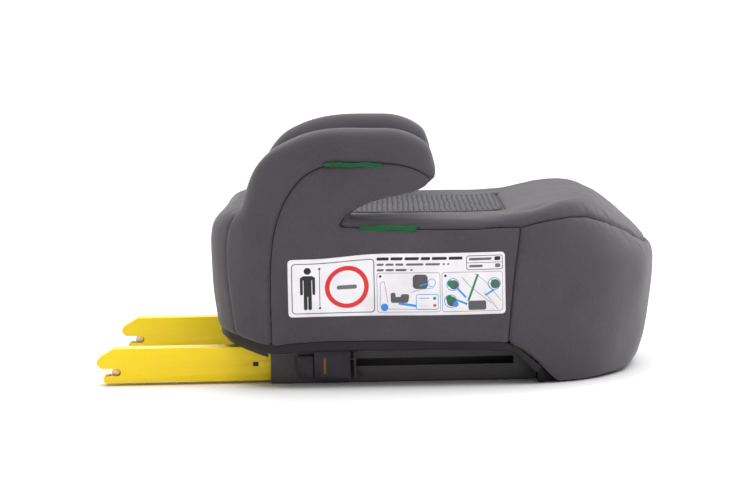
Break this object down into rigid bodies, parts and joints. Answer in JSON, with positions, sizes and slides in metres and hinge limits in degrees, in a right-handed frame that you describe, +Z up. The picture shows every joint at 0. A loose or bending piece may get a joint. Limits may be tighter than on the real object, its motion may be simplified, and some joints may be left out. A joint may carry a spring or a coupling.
{
  "type": "booster seat",
  "caption": "Backless child booster seat: padded seat with hooked arm rests as lap belt guides on a moulded base, and sliding rigid anchor connectors at the rear.",
  "frame": {"origin": "on the floor, midway along the overall length with the connectors drawn out, on the mid plane", "axes": "+X the way the seated child faces, +Y the child's left, +Z up"},
  "size_m": [0.514, 0.434, 0.233],
  "materials": {
    "cover_fabric": "matte fine knit",
    "insert_fabric": "matte ribbed mesh",
    "guide_fabric": "satin woven binding",
    "label": "satin printed label",
    "foam": "moulded bead foam",
    "black_plastic": "fine moulded grain",
    "rail_plastic": "satin moulded",
    "button_plastic": "satin moulded",
    "yellow_plastic": "satin moulded",
    "red_plastic": "gloss",
    "green_plastic": "gloss",
    "yellow_zinc": "yellow passivated zinc",
    "steel": "zinc plated"
  },
  "bodies": {
    "seat": {"seat_core": "foam", "seat_cover": "cover_fabric", "seat_insert": "insert_fabric", "side_label": "label", "base_shell": "black_plastic", "rail_screws": "steel", "right_armrest_pad": "cover_fabric", "right_armrest_core": "foam", "right_armrest_belt_guide": "guide_fabric", "right_seat_belt_guide": "guide_fabric", "right_rail": "rail_plastic", "right_rail_cap": "black_plastic", "left_armrest_pad": "cover_fabric", "left_armrest_core": "foam", "left_armrest_belt_guide": "guide_fabric", "left_seat_belt_guide": "guide_fabric", "left_rail": "rail_plastic", "left_rail_cap": "black_plastic"},
    "right_connector": {"right_arm_cover": "yellow_plastic", "right_window_clip": "black_plastic", "right_latch_frame": "steel", "right_hook_pin": "steel", "right_trigger_spring": "steel", "right_carriage": "button_plastic"},
    "right_hook": {"right_latch_hook": "steel"},
    "right_trigger_body": {"right_trigger": "yellow_zinc"},
    "right_indicator": {"right_indicator_red": "red_plastic", "right_indicator_green": "green_plastic"},
    "right_hook_release": {"right_hook_button": "button_plastic", "right_release_rod": "steel"},
    "right_length_release": {"right_length_button": "button_plastic"},
    "right_lock": {"right_lock_pawl": "steel"},
    "left_connector": {"left_arm_cover": "yellow_plastic", "left_window_clip": "black_plastic", "left_latch_frame": "steel", "left_hook_pin": "steel", "left_trigger_spring": "steel", "left_carriage": "button_plastic"},
    "left_hook": {"left_latch_hook": "steel"},
    "left_trigger_body": {"left_trigger": "yellow_zinc"},
    "left_indicator": {"left_indicator_red": "red_plastic", "left_indicator_green": "green_plastic"},
    "left_hook_release": {"left_hook_button": "button_plastic", "left_release_rod": "steel"},
    "left_length_release": {"left_length_button": "button_plastic"},
    "left_lock": {"left_lock_pawl": "steel"}
  },
  "joints": [
    {"name": "right_arm_slide", "type": "slide", "parent": "seat", "child": "right_connector", "axis": [1, 0, 0], "range_m": [0, 0.135]},
    {"name": "right_trigger_push", "type": "slide", "parent": "right_connector", "child": "right_trigger_body", "axis": [1, 0, 0], "range_m": [0, 0.008], "stiffness_N_per_m": 400, "springref_m": -0.003, "deforming": ["right_trigger_spring"]},
    {"name": "right_hook_swing", "type": "hinge", "parent": "right_connector", "child": "right_hook", "pos_m": [-0.205, -0.14, 0.0235], "axis": [0, -1, 0], "range_deg": [0, 11.6]},
    {"name": "right_indicator_shift", "type": "slide", "parent": "right_connector", "child": "right_indicator", "axis": [1, 0, 0], "range_m": [-0.00165, 0]},
    {"name": "right_hook_button_press", "type": "slide", "parent": "right_connector", "child": "right_hook_release", "axis": [1, 0, 0], "range_m": [0, 0.004], "stiffness_N_per_m": 300, "springref_m": -0.003},
    {"name": "right_length_button_press", "type": "slide", "parent": "right_connector", "child": "right_length_release", "axis": [1, 0, 0], "range_m": [-0.0025, 0], "stiffness_N_per_m": 300, "springref_m": 0.003},
    {"name": "right_lock_pawl_drop", "type": "slide", "parent": "right_connector", "child": "right_lock", "axis": [0, 0, 1], "range_m": [-0.0031, 0]},
    {"name": "left_arm_slide", "type": "slide", "parent": "seat", "child": "left_connector", "axis": [1, 0, 0], "range_m": [0, 0.135]},
    {"name": "left_trigger_push", "type": "slide", "parent": "left_connector", "child": "left_trigger_body", "axis": [1, 0, 0], "range_m": [0, 0.008], "stiffness_N_per_m": 400, "springref_m": -0.003, "deforming": ["left_trigger_spring"]},
    {"name": "left_hook_swing", "type": "hinge", "parent": "left_connector", "child": "left_hook", "pos_m": [-0.205, 0.14, 0.0235], "axis": [0, -1, 0], "range_deg": [0, 11.6]},
    {"name": "left_indicator_shift", "type": "slide", "parent": "left_connector", "child": "left_indicator", "axis": [1, 0, 0], "range_m": [-0.00165, 0]},
    {"name": "left_hook_button_press", "type": "slide", "parent": "left_connector", "child": "left_hook_release", "axis": [1, 0, 0], "range_m": [0, 0.004], "stiffness_N_per_m": 300, "springref_m": -0.003},
    {"name": "left_length_button_press", "type": "slide", "parent": "left_connector", "child": "left_length_release", "axis": [1, 0, 0], "range_m": [-0.0025, 0], "stiffness_N_per_m": 300, "springref_m": 0.003},
    {"name": "left_lock_pawl_drop", "type": "slide", "parent": "left_connector", "child": "left_lock", "axis": [0, 0, 1], "range_m": [-0.0031, 0]}
  ],
  "couplings": [
    {"joint": "right_hook_swing", "follows": "right_trigger_push", "rad_per_m": 25},
    {"joint": "right_indicator_shift", "follows": "right_trigger_push", "ratio": -0.2},
    {"joint": "right_lock_pawl_drop", "follows": "right_length_button_press", "ratio": 1.2},
    {"joint": "left_hook_swing", "follows": "left_trigger_push", "rad_per_m": 25},
    {"joint": "left_indicator_shift", "follows": "left_trigger_push", "ratio": -0.2},
    {"joint": "left_lock_pawl_drop", "follows": "left_length_button_press", "ratio": 1.2}
  ]
}
